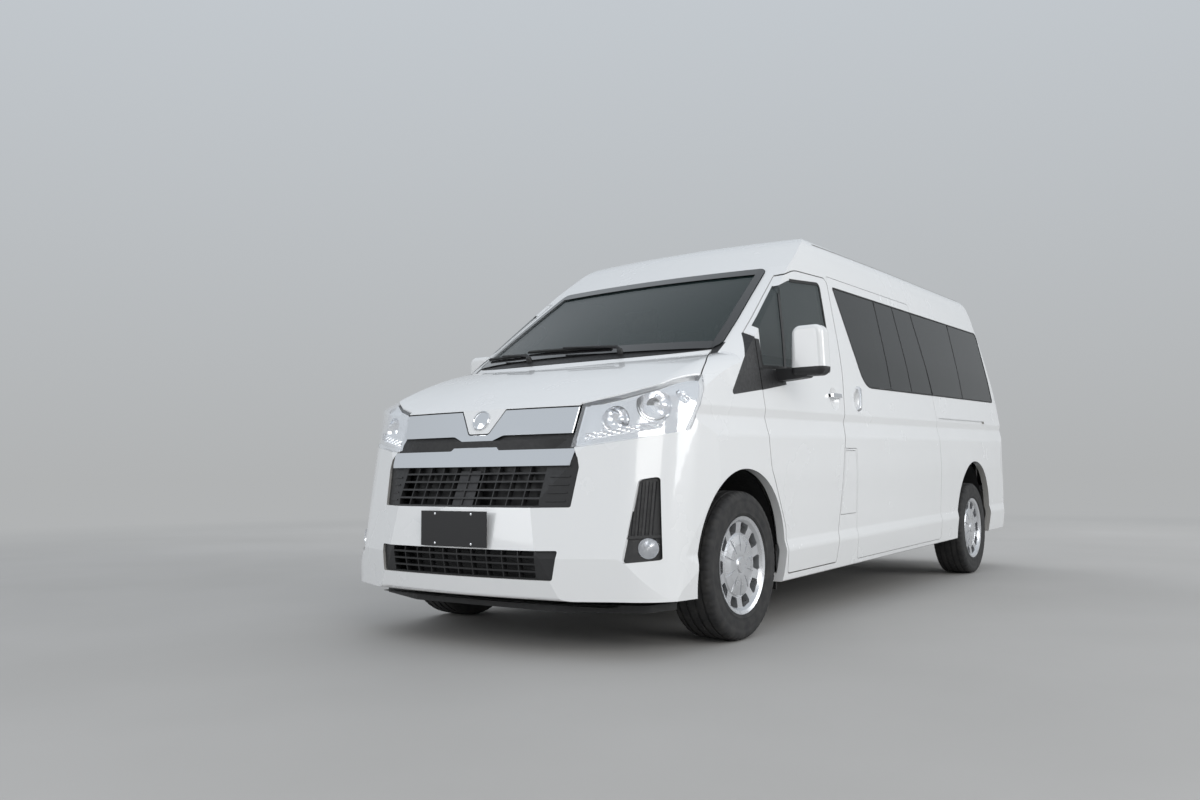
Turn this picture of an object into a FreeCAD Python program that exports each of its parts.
"""High-roof, long-wheelbase minibus as separate pieces with real joints.

Millimetres. The bus faces -Y, +X is its left side and +Z is up. The origin is on the
ground below the middle of its box. The body is drawn level and then raked, tail up, about
the front axle, because an empty bus of this type stands nose-down on its rear springs.
"""
import FreeCAD, Part
import math
import os

V = FreeCAD.Vector

SIZES = {
    "wheelbase": 3860, "front_overhang": 965, "rear_overhang": 1090,
    "half_width": 975, "roof_height": 2207, "sill_height": 228, "rake_angle": 1.0,
    "rake_shift": 4,
    "hub_height": 350, "tyre_radius": 350, "tyre_width": 226, "rim_radius": 222,
    "cover_radius": 229, "half_track": 837.5,
    "wall": 42, "skin": 6, "grille_depth": 14, "glass_gap": 0.3, "shut_gap": 6, "seam_gap": 3,
    "arch_radius": 445, "liner_wall": 8, "front_well": 497, "rear_well": 690,
    "screen_axis": 3000, "nose_radius": 4000, "tail_radius": 2600, "nose_lean": 0.20,
    "floor_top": 600, "floor_wall": 40, "pillar_gap": 8, "pin_gap": 0.4, "hood_lip": 1092, "hood_flange": 30,
    "fog_radius": 45, "spokes": 10, "cup_radius": 125, "cup_offset": 108, "grip_width": 24,
    "sill_start": 505, "flap_place": 474, "lip_depth": 32,
    "hood_hinge": 560, "gate_hinge": 420, "door_hinge_low": 790,
    "door_hinge_high": 1120, "screen_pillar": 55, "rear_bumper_top": 620, "frame_lip": 18,
    "rib_pitch": 86, "rib_width": 5, "ribs": 5, "slat": 8, "mirror_place": -1560,
    "roof_seam": 2118, "kingpin": 720,
    "knuckle_half": 85, "bore": 30, "bore_gap": 0.08,
    "rail_offset": 430, "rail_width": 70, "rail_height": 110,
    "cross_width": 90, "cross_height": 60,
    "engine_length": 760, "engine_width": 560, "engine_height": 460, "engine_bottom": 330,
    "tank_length": 900, "tank_width": 300, "tank_height": 190,
    "pipe_radius": 28, "muffler_radius": 95, "muffler_length": 620,
    "axle_tube": 48, "diff_radius": 150, "shaft_radius": 38, "spring_offset": 560,
    "spring_length": 1300, "spring_width": 70, "spring_drop": 95,
    "arm_depth": 46, "strut_radius": 34,
    "strut_offset": 600,
    "wheel_grip": 17, "wheel_ring": 188, "column_tilt": 35,
    "wheel_side": 430, "wheel_up": 1255,
    "seat_width": 500, "seat_depth": 480, "cushion": 120, "back_height": 640,
    "back_wall": 110, "seat_height": 1010, "cab_seat_side": 430,
    "row_pitch": 780, "row_first": 1560,
    "row_seat_height": 1020,
    "flap_thick": 9,
    "mirror_depth": 110, "mirror_split": 1306,
}

doc = FreeCAD.newDocument("minibus")
sheet = doc.addObject("Spreadsheet::Sheet", "Sizes")
for row, (alias, value) in enumerate(SIZES.items(), start=1):
    sheet.set(f"A{row}", alias)
    sheet.set(f"B{row}", str(value))
    sheet.setAlias(f"B{row}", alias)
doc.recompute()


class Sheet:
    """Reads a driving size from the sheet by its name."""

    def __getattr__(self, alias):
        return float(sheet.get(alias))


S = Sheet()

LENGTH = S.front_overhang + S.wheelbase + S.rear_overhang
NOSE = -LENGTH / 2 + S.rake_shift
FRONT_AXLE = NOSE + S.front_overhang
REAR_AXLE = FRONT_AXLE + S.wheelbase
TAIL = NOSE + LENGTH
NOSE_AXIS = NOSE + S.nose_radius
TAIL_AXIS = TAIL - S.tail_radius
HALF = S.half_width
ROOF = S.roof_height
SILL = S.sill_height
HUB = S.hub_height
FAR = 4000.0
NODES = []


# Drawing helpers

PLANES = {
    "yz": lambda a, b: V(0, a, b),
    "xz": lambda a, b: V(a, 0, b),
    "xy": lambda a, b: V(a, b, 0),
}
NORMALS = {"yz": V(1, 0, 0), "xz": V(0, 1, 0), "xy": V(0, 0, 1)}


def outline(points, plane):
    """A face from corner points (a, b, radius), each corner rounded by a tangent arc."""
    place = PLANES[plane]
    corners = [place(p[0], p[1]) for p in points]
    runs = []
    for i, corner in enumerate(corners):
        radius = points[i][2] if len(points[i]) > 2 else 0
        if not radius:
            runs.append((corner, None, corner))
            continue
        before = (corners[i - 1] - corner).normalize()
        after = (corners[(i + 1) % len(corners)] - corner).normalize()
        half = before.getAngle(after) / 2
        reach = radius / math.tan(half)
        middle = corner + (before + after).normalize() * (radius / math.sin(half) - radius)
        runs.append((corner + before * reach, middle, corner + after * reach))
    edges = []
    for i, (start, middle, end) in enumerate(runs):
        if middle is not None:
            edges.append(Part.Arc(start, middle, end).toShape())
        following = runs[(i + 1) % len(runs)][0]
        if (following - end).Length > 1e-6:
            edges.append(Part.LineSegment(end, following).toShape())
    return Part.Face(Part.Wire(edges))


def moved_in(points, inset):
    """The corner points of the same outline moved in (or out, when negative) by a distance."""
    if not inset:
        return points
    count = len(points)
    area = sum(points[i - 1][0] * points[i][1] - points[i][0] * points[i - 1][1] for i in range(count))
    turn = 1 if area > 0 else -1
    lines = []
    for i in range(count):
        (a0, b0), (a1, b1) = points[i][:2], points[(i + 1) % count][:2]
        length = math.hypot(a1 - a0, b1 - b0)
        along = ((a1 - a0) / length, (b1 - b0) / length)
        inward = (-along[1] * turn, along[0] * turn)
        lines.append(((a0 + inward[0] * inset, b0 + inward[1] * inset), along))
    result = []
    for i in range(count):
        (p, d), (q, e) = lines[i - 1], lines[i]
        cross = d[0] * e[1] - d[1] * e[0]
        reach = ((q[0] - p[0]) * e[1] - (q[1] - p[1]) * e[0]) / cross
        radius = points[i][2] if len(points[i]) > 2 else 0
        if radius:
            radius = max(radius - inset * turn * (1 if cross > 0 else -1), 0)
        result.append((p[0] + d[0] * reach, p[1] + d[1] * reach, radius))
    return result


def prism(points, plane, start=-FAR, end=FAR, wider=0.0):
    """A straight solid with the given outline, from one place to another along its normal."""
    face = outline(moved_in(points, -wider), plane)
    normal = NORMALS[plane]
    face.translate(normal * start)
    return face.extrude(normal * (end - start))


def block(x0, x1, y0, y1, z0, z1):
    """A box between two corners."""
    return Part.makeBox(x1 - x0, y1 - y0, z1 - z0, V(x0, y0, z0))


def mirrored_points(half):
    """A closed outline from its +X half."""
    return half + [(-p[0],) + tuple(p[1:]) for p in reversed(half)]


def mirrored(shape):
    """The same shape on the other side of the bus."""
    return shape.mirror(V(0, 0, 0), V(1, 0, 0))


def both(shape):
    """A left piece and its mirror image as one shape."""
    return Part.Compound([shape, mirrored(shape)])


def tidy(shape, smallest=2000.0):
    """Only the real solids of a shape, without slivers."""
    solids = [s for s in shape.Solids if s.Volume > smallest]
    return solids[0] if len(solids) == 1 else Part.Compound(solids)


def dish(place, axis, radius, depth):
    """A reflector's hollow: a ball cut to that mouth and depth, looking along its axis."""
    ball = (radius * radius + depth * depth) / (2 * depth)
    return Part.makeSphere(ball, place + axis * (ball - depth))


def moved(shape, x, y, z):
    copy = shape.copy()
    copy.translate(V(x, y, z))
    return copy


def rake_placement():
    pivot = V(0, FRONT_AXLE, HUB)
    turn = FreeCAD.Rotation(V(1, 0, 0), S.rake_angle)
    return FreeCAD.Placement(V(0, 0, 0), turn, pivot)


RAKE = rake_placement()


def node(name, shape, raked=True):
    """A piece of the bus: its shape, and its place with the body's rake or without."""
    item = doc.addObject("Part::Feature", name)
    item.Label = name
    item.Shape = tidy(shape)
    if raked:
        item.Placement = RAKE
    NODES.append(item)
    return item


def keep(item, name, placement):
    """A piece made from features of the document, with its place."""
    item.Label = name
    item.Placement = placement
    NODES.append(item)
    return item


def feature(kind, name, **bound):
    """A document feature whose sizes are bound to the sheet."""
    item = doc.addObject(kind, name)
    for prop, expression in bound.items():
        item.setExpression(prop, expression)
    return item


def level(x, y, z, axis=V(0, 0, 1), angle=0.0):
    return FreeCAD.Placement(V(x, y, z), FreeCAD.Rotation(axis, angle))


def raked(x, y, z, axis=V(0, 0, 1), angle=0.0):
    return RAKE.multiply(level(x, y, z, axis, angle))


# Body envelope

# half section: in from the widest point, height, corner radius
SECTION = [
    (30, SILL, 10),
    (8, SILL + 157, 60),
    (19, SILL + 210, 40),
    (-2, SILL + 532, 1000),
    (3, SILL + 732, 100),
    (24, SILL + 822, 30),
    (18, SILL + 866, 30),
    (73, ROOF - 727, 2500),
    (175, ROOF - 192, 600),
    (221, ROOF - 47, 120),
    (545, ROOF, 1800),
]

# windscreen: back from the nose at the middle, and at the given half width, and height
SCREEN_BASE = (598, 963, 950, 1250)
HEADER = (1762, 1925)
SCREEN_HALF = 1100.0

# side profile of the brow and roof above the header: back from the nose, height, corner radius
BROW = [
    (HEADER[0], HEADER[1], 0),
    (2137, ROOF - 39, 650),
    (3457, ROOF + 55, 0),
]

# side profile of the front below the hood edge: back from the nose, height, corner radius
FRONT = [
    (1057, 60, 0),
    (1057, 1700, 0),
    (237, 1700, 0),
    (222, 1130, 60),
    (166, 975, 80),
    (27, 655, 60),
    (0, 450, 120),
    (30, 262, 20),
    (90, 262, 0),
]

# hood ridge line on the middle plane: back from the nose, height
HOOD = [(157, 1080), (477, 1245), (807, 1362)]

# side profile of the tail: in from the tail, height, corner radius
REAR = [
    (14, SILL + 34, 30),
    (0, 470, 300),
    (14, 700, 60),
    (34, 1290, 900),
    (185, 1800, 1100),
    (330, 2110, 110),
    (560, ROOF + 40, 0),
]

# plan corners: width, back from the nose or in from the tail, corner radius
FRONT_CORNER = [(0, -175, 0), (HALF - 32, 245, 250), (HALF + 15, 807, 1500)]
REAR_CORNER = [(HALF + 15, 600, 0), (HALF - 8, 157, 130), (0, -161, 0)]
LEAN_CORNER_RADIUS = 350
LEAN_FROM = 440.0


def envelope(inset):
    """The outer form of the body, moved in by a distance."""
    half = [(HALF - inward, up, r) for inward, up, r in SECTION]
    section = outline(moved_in(mirrored_points(half), inset), "xz")
    section.translate(V(0, NOSE - 500, 0))
    sides = section.extrude(V(0, LENGTH + 1000, 0))

    cab = cab_form(inset)

    front = [(NOSE + back, up, r) for back, up, r in FRONT]
    front[0] = (NOSE_AXIS + inset, 60, 0)
    front[1] = (NOSE_AXIS + inset, 1700, 0)
    nose = outline(moved_in(front, inset), "yz").revolve(V(0, NOSE_AXIS, 0), V(0, 0, 1), 360)
    nose = nose.common(hood_form(inset))
    nose = nose.common(block(-FAR, FAR, NOSE - 300, NOSE + 1150, 0, 1600))
    lean = [(x, NOSE + back, LEAN_CORNER_RADIUS if r == 250 else r) for x, back, r in FRONT_CORNER]
    lean = mirrored_points(lean[1:] + [(HALF + 15, FAR, 0)])
    tip = outline(moved_in([(0, NOSE + FRONT_CORNER[0][1], 0)] + lean, inset), "xy")
    low = -380.0
    tip.translate(V(0, low * S.nose_lean, LEAN_FROM + low))
    nose = nose.common(tip.extrude(V(0, 1600 * S.nose_lean, 1600)))

    rear = [(TAIL_AXIS - inset, 60, 0), (TAIL - REAR[0][0] - 60, 60, 0)]
    rear += [(TAIL - back, up, r) for back, up, r in REAR]
    rear += [(TAIL - REAR[-1][0], ROOF + 250, 0), (TAIL_AXIS - inset, ROOF + 250, 0)]
    tail = outline(moved_in(rear, inset), "yz").revolve(V(0, TAIL_AXIS, 0), V(0, 0, 1), 360)
    tail = tail.fuse(block(-FAR, FAR, NOSE - 600, TAIL_AXIS, 0, ROOF + 200))

    plan = [(x, NOSE + back, r) for x, back, r in FRONT_CORNER]
    plan += [(x, TAIL - back, r) for x, back, r in REAR_CORNER]
    ring = plan[1:-1]
    corners = [plan[0]] + ring + [plan[-1]] + [(-p[0],) + tuple(p[1:]) for p in reversed(ring)]
    ground = outline(moved_in(corners, inset), "xy")
    corner_prism = ground.extrude(V(0, 0, ROOF + 300))

    whole = sides.common(cab.fuse(nose)).common(tail).common(corner_prism)
    return whole


def arc_through(half, middle_y, radius, height):
    """End points and middle of a plan arc about a centre behind it."""
    side = middle_y + radius - math.sqrt(radius ** 2 - half ** 2)
    return [V(-half, side, height), V(0, middle_y, height), V(half, side, height)]


def cab_form(inset):
    """Windscreen, brow and roof: a ruled loft below the header and a revolve above it."""
    axis = S.screen_axis
    slope = math.atan2(BROW[1][1] - BROW[0][1], BROW[1][0] - BROW[0][0])
    shift = inset / math.sin(slope)
    middle, side, half, low = SCREEN_BASE
    low_radius = ((side - middle) ** 2 + half ** 2) / (2 * (side - middle))
    header = NOSE + HEADER[0]
    wires = []
    for y, radius, z in ((NOSE + middle, low_radius, low), (header, axis - header, HEADER[1])):
        left, front, right = arc_through(SCREEN_HALF, y + shift, radius, z)
        rear = [V(SCREEN_HALF, axis, z), V(-SCREEN_HALF, axis, z)]
        edges = [Part.Arc(left, front, right).toShape()]
        for start, end in ((right, rear[0]), (rear[0], rear[1]), (rear[1], left)):
            edges.append(Part.LineSegment(start, end).toShape())
        wires.append(Part.Wire(edges))
    screen = Part.makeLoft(wires, True, True)
    below = Part.Face(wires[0]).extrude(V(0, 0, -(low - 60)))
    brow = [(NOSE + back, up, r) for back, up, r in BROW]
    edge = brow[0]
    brow = [(edge[0], edge[1] - inset, 0)] + brow[1:]
    step = inset / math.tan(slope)
    brow[0] = (edge[0] - step, edge[1] - inset, 0)
    top = ROOF + 250
    brow += [(NOSE + BROW[-1][0], top, 0), (axis + inset, top, 0), (axis + inset, edge[1] - inset, 0)]
    roof = outline(moved_in(brow, inset), "yz").revolve(V(0, axis, 0), V(0, 0, 1), 360)
    return screen.fuse(below).fuse(roof)


# cross section of the hood, from its top: half width, drop, corner radius
HOOD_SECTION = [(1040, 1700, 0), (1010, 450, 0), (940, 47, 160), (0, 0, 9000)]


def hood_form(inset):
    """Everything below the crowned hood surface."""
    points = [V(0, NOSE + back, up) for back, up in HOOD]
    ridge = Part.Circle(*points)
    centre, radius = ridge.Center, ridge.Radius
    top = centre.z + radius - inset
    half = [(max(x - inset, 0), top - drop, max(r - inset, 0)) for x, drop, r in HOOD_SECTION]
    right = half[:-1]
    points = right + [half[-1]] + [(-p[0],) + tuple(p[1:]) for p in reversed(right)]
    face = outline(points, "xz")
    face.translate(V(0, centre.y, 0))
    face.rotate(centre, V(1, 0, 0), -25)
    return face.revolve(centre, V(1, 0, 0), 100)


outer = envelope(0)
skin = envelope(S.skin)
recess = envelope(S.skin + S.glass_gap)
grille_face = envelope(S.grille_depth)
lining = envelope(S.wall)
shell = outer.cut(lining).cut(block(-880, 880, NOSE + 330, TAIL - 220, 0, 300))
glazing = outer.cut(skin)
glass_seat = outer.cut(recess)


# Outlines on the body: side views as (back, height, corner radius), front views as (x, height, radius)

def from_axle(points, axle=FRONT_AXLE):
    return [(axle + p[0],) + tuple(p[1:]) for p in points]


def from_nose(points):
    return from_axle(points, NOSE)


DOOR = from_axle([
    (462, 262, 25), (437, 500, 100), (262, 800, 150), (247, 1000, 300), (256, 1550, 60),
    (600, 1806, 300), (930, 1906, 400), (1397, 1922, 50), (1345, 1330, 300),
    (1195, 800, 300), (1100, 262, 25),
])
DOOR_GLASS = from_axle([
    (288, 1308, 12), (326, 1560, 30), (590, 1752, 200), (830, 1832, 250), (1256, 1866, 30),
    (1216, 1560, 200), (1158, 1340, 30),
])
QUARTER_TRIM = from_axle([(-90, 1150, 12), (262, 1192, 6), (322, 1556, 12)])
SLIDING_DOOR = from_axle([
    (1408, 256, 25), (1402, 430, 100), (1400, 898, 8), (1223, 898, 8), (1345, 1330, 300),
    (1398, 1936, 20), (2872, 1936, 30), (3000, 1290, 200), (3012, 256, 30),
])
FUEL_FLAP = from_axle([(1155, 524, 10), (1390, 524, 10), (1386, 888, 10), (1224, 888, 10)])
SIDE_GLASS = from_axle([
    (1465, 1872, 10), (1580, 1510, 400), (1680, 1275, 170), (1941, 1282, 0),
    (4631, 1291, 25), (4572, 1878, 60),
])
SLIDE_SEAM = from_axle([(2872, 1950, 0), (3012, 1200, 0), (3018, 1200, 0), (2878, 1950, 0)])
SIDE_OPENINGS = [
    from_axle([(1545, 1835, 30), (1640, 1550, 150), (1745, 1330, 90), (2120, 1330, 40), (2120, 1835, 40)]),
    from_axle([(2180, 1330, 40), (2180, 1835, 40), (2780, 1835, 30), (2900, 1330, 30)]),
    from_axle([(3100, 1330, 40), (2990, 1835, 40), (3730, 1835, 40), (3730, 1330, 40)]),
    from_axle([(3800, 1330, 40), (3800, 1835, 40), (4500, 1835, 60), (4545, 1330, 40)]),
]
LAMP_SIDE = from_nose([
    (120, 895, 0), (246, 933, 0), (330, 955, 0), (492, 980, 10), (676, 1237, 0), (690, 1300, 0), (120, 1300, 0),
])
LAMP_FRONT = [(528, 880, 0), (548, 1130, 0), (560, 1400, 0), (1200, 1400, 0), (1200, 800, 0)]
HOOD_PLAN = mirrored_points([
    (532, NOSE - 100, 0), (538, NOSE + 262, 0), (684, NOSE + 338, 0), (826, NOSE + 445, 60), (909, NOSE + 673, 30),
    (866, NOSE + 795, 200), (768, NOSE + 1010, 20), (768, NOSE + 1200, 0),
])
HOOD_TONGUE = [
    (-175, 1150, 0), (-105, 1045, 12), (-62, 980, 26), (62, 980, 26), (105, 1045, 12), (175, 1150, 0),
]
HOOD_REAR = (784, 1250)
WING = from_nose([
    (560, 250, 0), (1440, 250, 0), (1440, 800, 0), (1300, 1250, 0), (1119, 1394, 0), (1193, 1494, 0),
    (1100, 1500, 0), (640, 1500, 0), (640, 1190, 0), (492, 980, 0),
    (503, 891, 0), (524, 821, 0), (587, 635, 0),
])
BUMPER_SIDE = from_nose([
    (-200, 232, 0), (560, 232, 0), (587, 635, 0), (524, 821, 0), (503, 891, 0), (492, 980, 0),
    (330, 955, 0), (246, 933, 0), (150, 905, 0), (150, 1092, 0), (-200, 1092, 0),
])
GRILLE = mirrored_points([(566, 655, 10), (584, 826, 0), (574, 868, 0), (546, 915, 0), (520, 976, 0), (530, 1094, 0)])
UPPER_BAR = mirrored_points([(88, 950, 30), (150, 976, 60), (700, 976, 0), (700, 1200, 0)])
LOWER_BAR = mirrored_points([(546, 835, 0), (558, 908, 0), (148, 908, 12), (118, 934, 10)])
LOWER_GRILLE = mirrored_points([(512, 348, 12), (532, 474, 8)])
LAMP_BOWLS = [(838, 402, 1092, 74, 46), (690, 300, 1030, 58, 36), (598, 240, 1040, 40, 26), (905, 520, 1130, 30, 16)]
FOG_LAMP = (866, NOSE + 262, 480)
VALANCE = mirrored_points([(430, NOSE + 190, 60), (800, NOSE + 340, 60), (855, NOSE + 500, 0)])
FOG = [(786, 421, 10), (912, 431, 10), (888, 781, 14), (820, 768, 20)]
WINDSCREEN = mirrored_points([(762, 1398, 30), (790, 1425, 30), (770, 1570, 500), (705, 1914, 45)])
ROOF_SIDE = from_nose([
    (1000, 1931, 0), (1790, 1931, 0), (2150, S.roof_seam, 0), (5380, S.roof_seam, 0),
    (5440, 2030, 0), (6200, 2030, 0), (6200, 2600, 0), (1000, 2600, 0),
])
TAILGATE = mirrored_points([(735, 626, 40), (755, 1200, 300), (660, 2030, 90)])
REAR_GLASS = mirrored_points([(640, 1300, 50), (575, 1850, 60)])
TAIL_LAMP = [(800, 760, 10), (905, 770, 10), (893, 1330, 15), (838, 1340, 15)]
WINDOW = [(-25, 152, 9), (-41, 201, 12), (41, 201, 12), (25, 152, 9)]
CREASE = [(-1.5, 55, 0), (-7, 143, 0), (7, 143, 0), (1.5, 55, 0)]
GRIP = [(-12, -84, 0), (24, -72, 18), (27, 0, 900), (24, 72, 18), (-12, 84, 0), (-12, 66, 0), (12, 56, 10),
        (14, 0, 900), (12, -56, 10), (-12, -66, 0)]
DOOR_HANDLE = (942, FRONT_AXLE + 1160, 1197)
SLIDE_HANDLE = (942, FRONT_AXLE + 1518, 1195)
MIRROR_ARM = [(880, 1245, 0), (960, 1245, 20), (1100, 1256, 20), (1100, 1300, 0), (1040, 1300, 30), (960, 1312, 40),
              (880, 1312, 0)]
MIRROR_FRONT = [(1010, 1262, 30), (1195, 1262, 40), (1185, 1520, 45), (1020, 1520, 45)]
BULKHEAD = from_axle([
    (-130, 820, 0), (300, 820, 0), (430, 560, 0), (470, 560, 0), (470, 600, 0), (335, 860, 0),
    (-95, 860, 0), (-95, 1290, 0), (-130, 1290, 0),
])
DASHBOARD = from_axle([
    (-94, 880, 0), (190, 880, 40), (300, 1000, 60), (330, 1190, 60), (200, 1300, 120), (-94, 1300, 0),
])


def hood_region(gap):
    """The hood's place, moved in by a gap: above its side line, before its curved rear edge."""
    radius = HOOD_REAR[1] + gap
    rear = Part.makeCylinder(radius, 3000, V(0, NOSE + HOOD_REAR[0] + HOOD_REAR[1], 0))
    rear = rear.fuse(block(-2000, 2000, NOSE + 1090 - gap, FAR, 0, 3000))
    zone = prism(moved_in(HOOD_PLAN, gap), "xy", S.hood_lip + gap, 3000).cut(rear)
    return zone.fuse(prism(moved_in(HOOD_TONGUE, gap), "xz", NOSE - 300, NOSE + 330))


# Closed body panels

def between(back0, back1, x0=-2000, x1=2000, z0=0, z1=3000, datum=FRONT_AXLE):
    """A box between two places along the bus, measured from the front axle."""
    return block(x0, x1, datum + back0, datum + back1, z0, z1)


arch_front = Part.makeCylinder(S.arch_radius, 4000, V(-2000, FRONT_AXLE - 12, HUB + 8), V(1, 0, 0))
arch_rear = Part.makeCylinder(S.arch_radius + 4, 4000, V(-2000, REAR_AXLE + 4, HUB), V(1, 0, 0))
hood_zone = hood_region(0)
screen_zone = prism(WINDSCREEN, "xz", NOSE + 500, NOSE + 2600).cut(hood_zone)
pillar_zone = prism(moved_in(WINDSCREEN, -S.screen_pillar), "xz", NOSE + 500, NOSE + 2600)
cowl_zone = between(770, 1200, -798, 798, 1290, 1432, NOSE).cut(hood_zone).cut(screen_zone)
gate_zone = prism(TAILGATE, "xz", TAIL - 900, TAIL + 300)
roof_zone = prism(ROOF_SIDE, "yz")
lamp_zone = prism(LAMP_SIDE, "yz", 0, 2000).common(prism(LAMP_FRONT, "xz", NOSE - 300, NOSE + 1200))
lamp_zone = lamp_zone.cut(hood_zone)
fog_zone = prism(FOG, "xz", NOSE - 300, NOSE + 480)
grille_zone = prism(GRILLE, "xz", NOSE - 300, NOSE + 480).cut(lamp_zone).cut(mirrored(lamp_zone))
lower_zone = prism(LOWER_GRILLE, "xz", NOSE - 300, NOSE + 480)
bumper_zone = prism(BUMPER_SIDE, "yz", -2000, 2000)
wing_zone = prism(WING, "yz", 0, 2000)
trim_zone = prism(QUARTER_TRIM, "yz", 500, 2000).cut(cowl_zone).cut(pillar_zone)
rear_bumper_zone = between(S.arch_radius - 60, 2000, z1=S.rear_bumper_top, datum=REAR_AXLE)
flap_zone = prism(FUEL_FLAP, "yz", 600, 2000)
door_zone = prism(DOOR, "yz", 500, 2000).cut(pillar_zone)
slide_zone = prism(SLIDING_DOOR, "yz", 0, 2000)
side_glass_zone = prism(SIDE_GLASS, "yz", 400, 2000)

inner_wall = grille_face.cut(lining)


def lug(zone, place):
    """A hinge lug: the inner part of the wall, carried on to the seat it turns in."""
    return inner_wall.common(zone).common(place)


# a thin edge round the hood lets it swing up and forward past the lamps
hood = glazing.common(hood_region(S.shut_gap))
hood = hood.fuse(shell.common(hood_region(S.shut_gap + S.hood_flange)))
for x in (-S.hood_hinge, S.hood_hinge):
    hood = hood.fuse(lug(hood_region(S.pin_gap), between(880, 1100, x - 25, x + 25, datum=NOSE)))
node("hood", tidy(hood, 1000000))

wing = shell.common(wing_zone)
for zone in (hood_zone, lamp_zone, door_zone, trim_zone, screen_zone, cowl_zone, arch_front):
    wing = wing.cut(zone)
wing = wing.cut(bumper_zone)
node("front_wings", both(tidy(wing, 50000)))

bumper = shell.common(bumper_zone)
for zone in (hood_zone, lamp_zone, mirrored(lamp_zone), fog_zone, mirrored(fog_zone), grille_zone, lower_zone,
             arch_front, between(330, 1500, -880, 880, 0, 300, NOSE)):
    bumper = bumper.cut(zone)
node("front_bumper", bumper)

node("headlamp_lenses", both(tidy(glazing.common(lamp_zone), 10000)))
housing = moved(recess, -10, 16, -4).cut(moved(recess, -75, 95, -10)).common(lamp_zone)
forward = V(0.30, -0.95, 0.02).normalize()
bulbs = []
for x, back, z, radius, depth in LAMP_BOWLS:
    place = V(x, NOSE + back, z)
    housing = housing.cut(dish(place, forward, radius, depth))
    bulbs.append(Part.makeCylinder(radius * 0.16, depth + 14, place - forward * (depth + 4), forward))
housing = tidy(housing, 20000)
for bulb in bulbs:
    housing = housing.fuse(bulb.common(moved(recess, -12, 18, -4)))
node("headlamps", both(housing))

fog_place = V(*FOG_LAMP)
fog_axis = V(0.45, -0.89, 0).normalize()
socket = Part.makeCylinder(S.fog_radius + S.pin_gap, 120, fog_place - fog_axis * 55, fog_axis)
ribs = [between(-300, 480, x, x + 7, 535, 760, NOSE) for x in range(800, 900, 22)]
ribs.append(between(-300, 480, 700, 1000, 522, 535, NOSE))
bezel = grille_face.cut(lining).common(fog_zone)
bezel = bezel.fuse(skin.cut(lining).common(Part.Compound(ribs)).common(fog_zone))
node("fog_bezels", both(tidy(bezel.cut(socket), 20000)))
lamp = Part.makeCylinder(S.fog_radius, 50, fog_place - fog_axis * 50, fog_axis)
lamp = lamp.fuse(Part.makeSphere(70, fog_place - fog_axis * 53).common(
    Part.makeCylinder(S.fog_radius - 5, 60, fog_place - fog_axis * 40, fog_axis)))
node("fog_lamps", both(lamp))
node("front_valance", prism(VALANCE, "xy", SILL - S.lip_depth, SILL - S.pin_gap))
node("cowl_cover", tidy(outer.cut(lining).common(cowl_zone), 20000))
node("quarter_trims", both(tidy(shell.common(trim_zone).cut(door_zone), 20000)))


def slats(zone, bands):
    """A grille: the recessed face cut into level slats, band by band, with upright ribs left standing."""
    windows = []
    for low, high, count in bands:
        pitch = (high - low) / count
        for i in range(count):
            bottom = low + i * pitch + S.slat
            for side in range(-int(S.ribs), int(S.ribs)):
                x0 = side * S.rib_pitch + S.rib_width / 2
                x1 = (side + 1) * S.rib_pitch - S.rib_width / 2
                windows.append(between(-300, 480, x0, x1, bottom, low + (i + 1) * pitch, NOSE))
    return grille_face.cut(lining).common(zone).cut(windows)


bars = [prism(points, "xz", NOSE - 300, NOSE + 480) for points in (UPPER_BAR, LOWER_BAR)]
grille = slats(grille_zone, [(655, 835, 5), (908, 952, 2)]).cut(bars).cut(hood_zone)
node("grille", tidy(grille, 1000))
chrome = [tidy(shell.common(bar).common(grille_zone).cut(hood_zone), 20000) for bar in bars]
node("grille_bars", Part.Compound(chrome))
node("lower_grille", slats(lower_zone, [(348, 474, 4)]))

roof = shell.common(roof_zone).cut(screen_zone).cut(gate_zone)
node("roof", roof)

side_body = shell.common(between(1090, 7000, 0, 2000, datum=NOSE))
for zone in (roof_zone, screen_zone, cowl_zone, gate_zone, hood_zone, wing_zone, door_zone,
             trim_zone, rear_bumper_zone, arch_rear, arch_front):
    side_body = side_body.cut(zone)
side_body = side_body.cut(glass_seat.common(side_glass_zone))
for points in SIDE_OPENINGS:
    side_body = side_body.cut(prism(points, "yz", 400, 2000))
tail_lamp_zone = prism(TAIL_LAMP, "xz", TAIL - 900, TAIL + 300)
tail_lamp = shell.common(tail_lamp_zone)
side_body = tidy(side_body.cut(tail_lamp_zone), 50000)

inner = lining.copy()
inner.translate(V(-S.pillar_gap, 0, 0))
pillar = between(1240, 1370, 830, 2000, 300, 1934).common(inner)
pillar = pillar.fuse(between(1240, 1370, 800, 2000, 1934, 2090).common(lining))
sill = between(S.sill_start, 3370, 790, 2000, 271, S.floor_top - S.floor_wall).common(inner)
pillar_foot = between(1330, 1385, 800, 2000, 300, 1934).common(lining)
frame_inside = pillar.fuse(sill).fuse(pillar_foot)
sides = {"right": tidy(side_body.fuse(frame_inside), 50000)}
slide_opening = side_body.cut(slide_zone).cut(outer.cut(grille_face).common(flap_zone))
sides["left"] = tidy(slide_opening.fuse(frame_inside), 50000)
slot = outer.cut(grille_face).common(between(3054, 4255, 600, 2000, 1097, 1119))
sides["left"] = sides["left"].cut(slot)
node("side_left", sides["left"])
node("side_right", mirrored(sides["right"]))

glass = glazing.common(prism(moved_in(SIDE_GLASS, 1), "yz", 400, 2000))
seam = prism(SLIDE_SEAM, "yz", 400, 2000)
node("side_glass", both(tidy(glass.cut(seam), 20000)))


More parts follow.
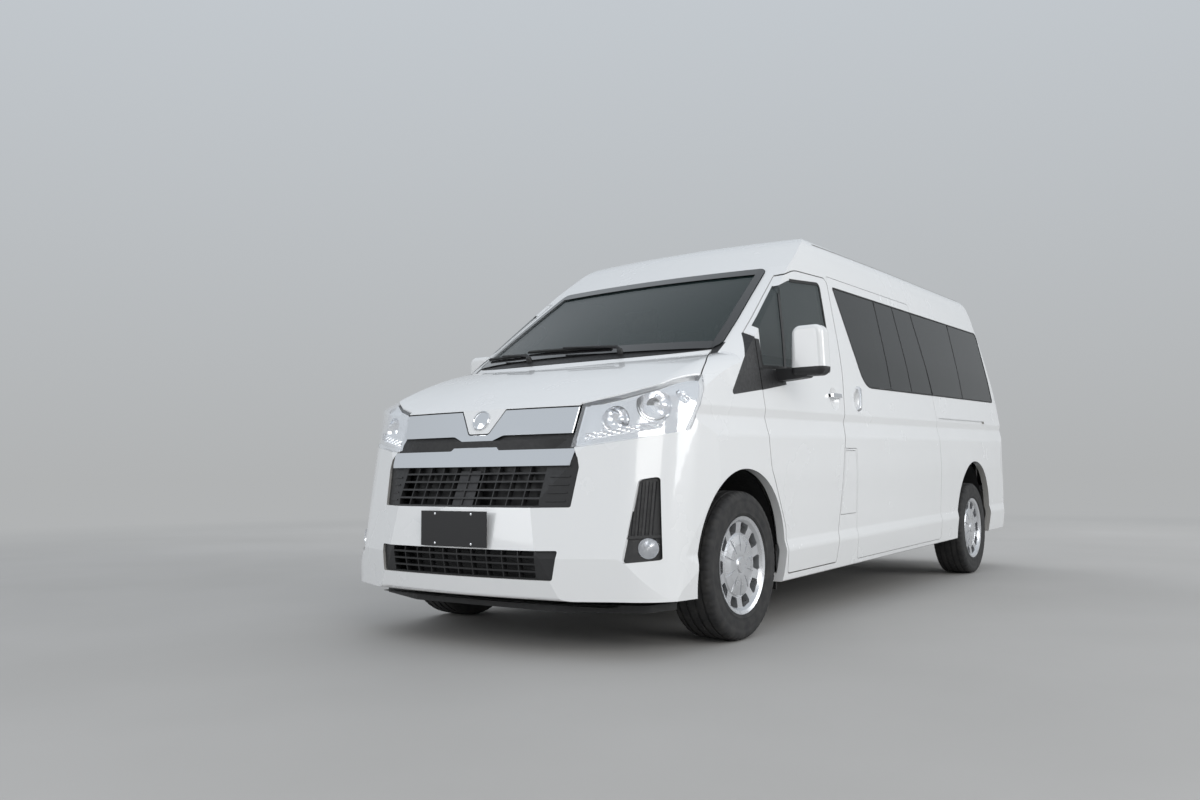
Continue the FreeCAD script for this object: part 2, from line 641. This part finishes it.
def handle(place, turn, panel):
    """A pull handle standing on its panel: an arched bar with rounded edges."""
    bar = prism(GRIP, "xz", -S.grip_width / 2, S.grip_width / 2)
    bar = bar.makeFillet(4, [e for e in bar.Edges if e.BoundBox.YLength < 0.1 and e.BoundBox.XMax > 10])
    bar.rotate(V(0, 0, 0), V(1, 0, 0), turn)
    bar.rotate(V(0, 0, 0), V(0, 1, 0), -8)
    return tidy(moved(bar, *place).cut(panel), 1000)


slide = shell.common(prism(moved_in(SLIDING_DOOR, S.seam_gap), "yz", 0, 2000))
slide = slide.cut(glass_seat.common(side_glass_zone)).cut(arch_rear)
for points in SIDE_OPENINGS:
    slide = slide.cut(prism(points, "yz", 400, 2000))
slide = slide.cut(Part.makeSphere(S.cup_radius, V(SLIDE_HANDLE[0] + S.cup_offset, *SLIDE_HANDLE[1:])))
slide = tidy(slide, 50000)
node("slide_handle", handle(SLIDE_HANDLE, -19, slide))
node("sliding_door", slide)

rear_bumper = shell.common(rear_bumper_zone).cut(arch_rear).cut(tail_lamp_zone)
node("rear_bumper", rear_bumper)
node("tail_lamps", both(tidy(tail_lamp, 20000)))

screen_glass = glazing.common(prism(moved_in(WINDSCREEN, 1), "xz", NOSE + 500, NOSE + 2600))
node("windscreen", tidy(screen_glass, 50000))


# Doors, tailgate and fuel flap

door_front = prism(moved_in(WINDSCREEN, -S.screen_pillar - S.shut_gap), "xz", NOSE + 500, NOSE + 2600)
seat_front = moved_in(WINDSCREEN, -S.screen_pillar - S.shut_gap - S.frame_lip)
pane_front = prism(moved_in(seat_front, -1), "xz", NOSE + 500, NOSE + 2600)
hole_front = prism(moved_in(seat_front, -S.frame_lip), "xz", NOSE + 500, NOSE + 2600)
seat_front = prism(seat_front, "xz", NOSE + 500, NOSE + 2600)
for name, place in (("left", lambda shape: shape), ("right", mirrored)):
    panel = shell.common(prism(moved_in(DOOR, S.shut_gap), "yz", 500, 2000)).cut(door_front)
    panel = panel.cut(glass_seat.common(prism(DOOR_GLASS, "yz", 400, 2000)).cut(seat_front))
    panel = panel.cut(prism(moved_in(DOOR_GLASS, S.frame_lip), "yz", 400, 2000).cut(hole_front))
    panel = panel.cut(Part.makeSphere(S.cup_radius, V(DOOR_HANDLE[0] + S.cup_offset, *DOOR_HANDLE[1:])))
    node(f"door_handle_{name}", place(handle(DOOR_HANDLE, 90, panel)))
    hinge = prism(moved_in(DOOR, S.pin_gap), "yz", 500, 2000)
    for z in S.door_hinge_low, S.door_hinge_high:
        panel = panel.fuse(lug(hinge, between(200, 420, z0=z, z1=z + 40)))
    node(f"door_{name}_panel", place(tidy(panel, 50000)))
    pane = glazing.common(prism(moved_in(DOOR_GLASS, 1), "yz", 400, 2000)).cut(pane_front)
    node(f"door_{name}_glass", place(tidy(pane, 10000)))
    head = prism(MIRROR_FRONT, "xz", S.mirror_place, S.mirror_place + S.mirror_depth)
    head = head.makeFillet(28, [e for e in head.Edges if abs(e.BoundBox.YLength) < 1])
    arm = prism(MIRROR_ARM, "xz", S.mirror_place + 15, S.mirror_place + S.mirror_depth - 15).cut(outer)
    split = block(900, 1300, S.mirror_place - 50, S.mirror_place + 200, 1200, S.mirror_split)
    node(f"mirror_{name}", place(head.cut(split)))
    node(f"mirror_arm_{name}", place(head.common(split).fuse(tidy(arm.common(split), 1000))))

gate = shell.common(prism(moved_in(TAILGATE, S.shut_gap), "xz", TAIL - 900, TAIL + 300))
gate = gate.cut(roof_zone)
gate = gate.cut(glass_seat.common(prism(REAR_GLASS, "xz", TAIL - 900, TAIL + 300)))
gate = gate.cut(prism(moved_in(REAR_GLASS, 30), "xz", TAIL - 900, TAIL + 300))
for x in (-S.gate_hinge, S.gate_hinge):
    place = between(-900, 300, x - 30, x + 30, 1950, 2200, TAIL)
    gate = gate.fuse(lug(prism(moved_in(TAILGATE, S.pin_gap), "xz", TAIL - 900, TAIL + 300), place))
node("tailgate_panel", tidy(gate, 50000))
pane = glazing.common(prism(moved_in(REAR_GLASS, 1), "xz", TAIL - 900, TAIL + 300))
node("tailgate_glass", tidy(pane, 10000))

flap = glazing.common(prism(moved_in(FUEL_FLAP, S.seam_gap), "yz", 600, 2000))
flap_arm = recess.cut(grille_face).common(between(1355, 1377, 860, 2000, 680, 720))
flap_arm.translate(V(S.pin_gap, 0, 0))
node("fuel_flap", tidy(flap.fuse(flap_arm.common(outer)), 1000))


# Inside: floor, bulkhead, wheel houses, seats and controls

wells = []
for axle, inner_x in ((FRONT_AXLE, S.front_well), (REAR_AXLE, S.rear_well)):
    radius = S.arch_radius + 17 + S.liner_wall + S.pin_gap
    well = Part.makeCylinder(radius, 600, V(inner_x - S.liner_wall - S.pin_gap, axle, HUB), V(1, 0, 0))
    wells += [well, mirrored(well)]

floor = between(440, 5000, z0=S.floor_top - S.floor_wall, z1=S.floor_top).common(lining)
floor = floor.cut(between(0, 1420, 900, 2000)).cut(between(0, 1420, -2000, -900))
floor = floor.cut(frame_inside).cut(mirrored(frame_inside))
for well in wells:
    floor = floor.cut(well)
node("floor", floor)

bulkhead = prism(BULKHEAD, "yz", -880, 880).common(lining)
bulkhead = bulkhead.fuse(between(-130, -95, -430, 430, 1280, 1400).common(lining))
node("bulkhead", tidy(bulkhead.cut(floor), 50000))

liners = []
for axle, inner_x, outer_x in ((FRONT_AXLE, S.front_well, 893), (REAR_AXLE, S.rear_well, 893)):
    radius = S.arch_radius + 17
    drum = Part.makeCylinder(radius + S.liner_wall, outer_x - inner_x + S.liner_wall,
                             V(inner_x - S.liner_wall, axle, HUB), V(1, 0, 0))
    hollow = Part.makeCylinder(radius, outer_x, V(inner_x, axle, HUB), V(1, 0, 0))
    liner = drum.cut(hollow).cut(block(0, 2000, axle - 600, axle + 600, -300, HUB + 60))
    liner = liner.fuse(block(inner_x, outer_x - 18, axle + radius - 2, axle + radius + 30, 440.3, 460))
    liners += [liner, mirrored(liner)]
window = between(-80, 80, -600, 600, 0, 625)
node("wheel_liners", Part.Compound([liner.cut(window) for liner in liners]))

node("dashboard", prism(DASHBOARD, "yz", -865, 865).common(lining))


def seat(x, width, y, base, height, back):
    """Pedestal, cushion, leaning back and head restraint, facing forward; y is the front edge."""
    depth, thick = S.seat_depth, S.cushion
    pedestal = block(x - 75, x + 75, y + 60, y + depth - 40, base, height - thick)
    cushion = prism([(y, height - thick, 30), (y, height, 45), (y + depth, height - 25, 20),
                     (y + depth, height - thick, 20)], "yz", x - width / 2, x + width / 2)
    lean = 0.2
    foot = y + depth - 20
    top = foot + back * lean
    rest = prism([(foot - 30, height - 90, 20), (foot, height, 60), (top, height + back, 40), (top + 100, height + back, 40),
                  (foot + S.back_wall, height - 90, 20)], "yz", x - width / 2, x + width / 2)
    head = block(x - 130, x + 130, top + 5, top + 85, height + back + 25, height + back + 190)
    posts = block(x - 50, x + 50, top + 35, top + 50, height + back - 40, height + back + 60)
    return pedestal.fuse(cushion).fuse(rest).fuse(head).fuse(posts)


cab_y = FRONT_AXLE + 640
cab_seats = [seat(x, S.seat_width, cab_y, S.floor_top, S.seat_height, S.back_height)
             for x in (S.cab_seat_side, -S.cab_seat_side)]
node("front_seats", Part.Compound(cab_seats))

rows = []
for row in range(4):
    y = FRONT_AXLE + S.row_first + row * S.row_pitch
    for x in (-600, -185, 585):
        rows.append(seat(x, 400, y, S.floor_top, S.row_seat_height, 600))
node("passenger_seats", Part.Compound(rows))

hub_place = V(-S.wheel_side, FRONT_AXLE + 400, S.wheel_up)
tilt = FreeCAD.Rotation(V(1, 0, 0), -S.column_tilt)
ring = Part.makeTorus(S.wheel_ring, S.wheel_grip)
boss = Part.makeCylinder(62, 40, V(0, 0, -30))
spokes = [Part.makeBox(S.wheel_ring, 36, 14, V(0, -18, -14)) for _ in range(3)]
for i, spoke in enumerate(spokes):
    spoke.rotate(V(0, 0, 0), V(0, 0, 1), (0, 180, 270)[i])
column = Part.makeCylinder(28, 330, V(0, 0, -350))
control = ring.fuse(boss).fuse(spokes[0]).fuse(spokes[1]).fuse(spokes[2]).fuse(column)
control.Placement = FreeCAD.Placement(hub_place, FreeCAD.Rotation(V(1, 0, 0), 90 - S.column_tilt))
node("steering_wheel", control.cut(prism(DASHBOARD, "yz", -865, 865)))


# Underbody

PREFIX = "Sizes."


def expression_box(name, length, width, height, placement):
    item = feature("Part::Box", name, Length=PREFIX + width, Width=PREFIX + length, Height=PREFIX + height)
    item.Placement = placement
    return item


engine = expression_box("engine_block", "engine_length", "engine_width", "engine_height",
                        raked(-S.engine_width / 2, FRONT_AXLE - 560, S.engine_bottom))
keep(engine, "engine_block", engine.Placement)

tank = expression_box("fuel_tank", "tank_length", "tank_width", "tank_height",
                      raked(480, FRONT_AXLE + 1400, S.floor_top - S.floor_wall - S.tank_height))
keep(tank, "fuel_tank", tank.Placement)

rail_z = S.floor_top - S.floor_wall - S.rail_height
inside = S.rail_offset - S.rail_width / 2 - S.pin_gap
outside = S.rail_offset + S.rail_width / 2 + S.pin_gap
frame = []
for side in (-1, 1):
    x = side * S.rail_offset
    frame.append(block(x - S.rail_width / 2, x + S.rail_width / 2, NOSE + 170, TAIL - 120, rail_z,
                       rail_z + S.rail_height))
    near, far = sorted((side * (S.engine_width / 2 + S.pin_gap), side * inside))
    for y in (FRONT_AXLE - 480, FRONT_AXLE + 60):
        frame.append(block(near, far, y, y + 80, rail_z + 10, rail_z + 60))
    near, far = sorted((side * outside, side * 788))
    for y in (FRONT_AXLE + 1250, FRONT_AXLE + 2450):
        frame.append(block(near, far, y, y + S.cross_width, rail_z + 20, rail_z + 60))
for y in (NOSE + 190, FRONT_AXLE + 330, FRONT_AXLE + 1250, FRONT_AXLE + 2450, REAR_AXLE - 560, TAIL - 220):
    frame.append(block(-inside, inside, y, y + S.cross_width, rail_z, rail_z + S.cross_height))
frame = Part.Compound(frame)
node("chassis_frame", frame)

muffler = Part.makeCylinder(S.muffler_radius, S.muffler_length, V(-250, FRONT_AXLE + 1600, 400), V(0, 1, 0))
pipe = Part.makeCylinder(S.pipe_radius, 1200, V(-250, FRONT_AXLE + 420, 400), V(0, 1, 0))
tailpipe = Part.makeCylinder(S.pipe_radius, 1000, V(-250, FRONT_AXLE + 2200, 400), V(0, 1, 0))
exhaust = muffler.fuse(pipe).fuse(tailpipe)
for y in (FRONT_AXLE + 1280, FRONT_AXLE + 2480):
    exhaust = exhaust.fuse(block(-258, -242, y, y + 20, 420, rail_z - S.pin_gap))
node("exhaust", exhaust)

# Suspension, axles and wheels stand level

KNUCKLE_LOW = HUB - S.knuckle_half
KNUCKLE_HIGH = HUB + S.knuckle_half
cross = block(-S.rail_offset - 35, S.rail_offset + 35, FRONT_AXLE - 60, FRONT_AXLE + 60, 200, 265)
legs = [block(x - 30, x + 30, FRONT_AXLE - 50, FRONT_AXLE + 50, 260, rail_z - 0.9) for x in (-430, 430)]
arms = []
for x in (1, -1):
    piece = Part.makeCylinder(S.strut_radius, 560, V(S.strut_offset, FRONT_AXLE, 240), V(0, 0, 1))
    piece = piece.fuse(block(465.4, S.strut_offset, FRONT_AXLE - 30, FRONT_AXLE + 30, 545, 600))
    for bottom, depth in ((KNUCKLE_LOW - S.pin_gap - S.arm_depth, S.arm_depth), (KNUCKLE_HIGH + S.pin_gap, 28)):
        start = 430 if bottom < HUB else S.rail_offset + S.rail_width / 2 + S.pin_gap
        piece = piece.fuse(block(start, S.kingpin, FRONT_AXLE - 26, FRONT_AXLE + 26, bottom, bottom + depth))
        piece = piece.fuse(Part.makeCylinder(26, depth, V(S.kingpin, FRONT_AXLE, bottom)))
    arms.append(piece if x > 0 else mirrored(piece))
suspension = cross.fuse(legs[0]).fuse(legs[1]).fuse(arms[0]).fuse(arms[1])
node("front_suspension", suspension, False)

beam = Part.makeCylinder(S.axle_tube, 1460, V(-730, REAR_AXLE, HUB), V(1, 0, 0))
beam = beam.fuse(Part.makeCylinder(S.bore - S.bore_gap, 1740, V(-870, REAR_AXLE, HUB), V(1, 0, 0)))
ball = Part.makeSphere(S.diff_radius, V(0, REAR_AXLE, HUB))
shaft = Part.makeCylinder(S.shaft_radius, 2900, V(0, REAR_AXLE - 130, HUB + 5), V(0, -1, 0.02))
node("rear_axle", beam.fuse(ball).fuse(shaft), False)

springs = []
for x in (-S.spring_offset, S.spring_offset):
    half = S.spring_length / 2
    top = HUB + S.axle_tube + S.pin_gap
    arc = [V(x, REAR_AXLE - half, top + S.spring_drop), V(x, REAR_AXLE, top), V(x, REAR_AXLE + half, top + S.spring_drop)]
    low = Part.Arc(*arc).toShape()
    high = Part.Arc(*[p + V(0, 0, 40) for p in reversed(arc)]).toShape()
    edges = [low, Part.LineSegment(arc[2], arc[2] + V(0, 0, 40)).toShape(), high,
             Part.LineSegment(arc[0] + V(0, 0, 40), arc[0]).toShape()]
    leaf = Part.Face(Part.Wire(edges)).extrude(V(S.spring_width, 0, 0))
    leaf.translate(V(-S.spring_width / 2, 0, 0))
    side = 1 if x > 0 else -1
    near, far = sorted((side * (S.rail_offset + S.rail_width / 2 + S.pin_gap), x + side * S.spring_width / 2))
    for y in (REAR_AXLE - half, REAR_AXLE + half - 60):
        leaf = leaf.fuse(block(near, far, y, y + 60, top + S.spring_drop + 20, top + S.spring_drop + 105))
    springs.append(leaf)
node("leaf_springs", Part.Compound(springs), False)

TYRE = [(S.rim_radius, 92), (S.rim_radius + 12, 104), (300, S.tyre_width / 2), (S.tyre_radius - 10, 104),
        (S.tyre_radius, 88)]


def revolved(half, plane_x, axle):
    """A wheel-shaped solid from (radius, half width) points, round the axle's line."""
    points = [(x, r, 0) for r, x in half] + [(-x, r, 0) for r, x in reversed(half)]
    face = outline([(a, b) + (0,) for a, b, _ in points], "xz")
    solid = face.revolve(V(0, 0, 0), V(1, 0, 0), 360)
    solid.translate(V(plane_x, axle, HUB))
    return solid


COVER = [(S.bore, 22), (S.bore, 70), (0.1, 70), (0.1, 97), (33, 97), (38, 91), (50, 92), (100, 91),
         (142, 84), (150, 78), (200, 84), (213, 98), (S.cover_radius, 104), (S.cover_radius, 99.8)]


def wheel_solid(side, axle):
    """Rim, disc and cover in one: barrel, domed face with windows round its edge, and creases between them."""
    inner = [(S.rim_radius - 0.4, 92.4), (S.rim_radius - 0.4, -91), (S.rim_radius - 14, -91),
             (S.rim_radius - 14, 50), (160, 48), (70, 22)]
    face = outline([(x, r, 0) for r, x in COVER + inner], "xz")
    solid = face.revolve(V(0, 0, 0), V(1, 0, 0), 360)
    window = prism(WINDOW, "yz", 20, 200)
    crease = prism(CREASE, "yz", 94, 120)
    crease.rotate(V(0, 0, 0), V(0, 1, 0), -5)
    cuts = []
    for i in range(int(S.spokes)):
        for shape, turn in ((window, 0.5), (crease, 0)):
            copy = shape.copy()
            copy.rotate(V(0, 0, 0), V(1, 0, 0), (i + turn) * 360 / S.spokes)
            cuts.append(copy)
    solid = solid.cut(cuts)
    if side < 0:
        solid = solid.mirror(V(0, 0, 0), V(1, 0, 0))
    solid.translate(V(side * S.half_track, axle, HUB))
    return solid


CORNERS = [("front_left", 1, FRONT_AXLE), ("front_right", -1, FRONT_AXLE),
           ("rear_left", 1, REAR_AXLE), ("rear_right", -1, REAR_AXLE)]
for name, side, axle in CORNERS:
    node(f"tyre_{name}", revolved(TYRE, side * S.half_track, axle), False)
    node(f"wheel_{name}", wheel_solid(side, axle), False)

for name, side in (("left", 1), ("right", -1)):
    upright = block(S.kingpin - 20, S.kingpin + 22, FRONT_AXLE - 40, FRONT_AXLE + 40, KNUCKLE_LOW, KNUCKLE_HIGH)
    stub = Part.makeCylinder(S.bore - S.bore_gap, 176, V(S.kingpin, FRONT_AXLE, HUB), V(1, 0, 0))
    knuckle = upright.fuse(stub)
    node(f"knuckle_{name}", knuckle if side > 0 else mirrored(knuckle), False)

flaps = []
for axle, width in ((FRONT_AXLE, 190), (REAR_AXLE, 250)):
    flap = block(878 - width, 878, axle + S.flap_place, axle + S.flap_place + S.flap_thick, 180, 440)
    flaps += [flap, mirrored(flap)]
node("mud_flaps", Part.Compound(flaps))


# Check and write

doc.recompute()
os.makedirs("parts", exist_ok=True)
for item in doc.Objects:
    if "Invalid" in item.State or "Error" in item.State:
        raise RuntimeError(f"{item.Label} failed: {item.State}")
for item in NODES:
    shape = item.Shape
    if shape.isNull() or not shape.isValid() or not shape.Solids:
        raise RuntimeError(f"{item.Label} has no valid solid")
    shape.exportStep(f"parts/{item.Label}.step")
whole = Part.Compound([item.Shape for item in NODES])
box = whole.optimalBoundingBox(True, False)
volume = sum(item.Shape.Volume for item in NODES) / 1e9
print(f"{len(NODES)} nodes, box {box}, solid {volume:.3f} cubic metres")
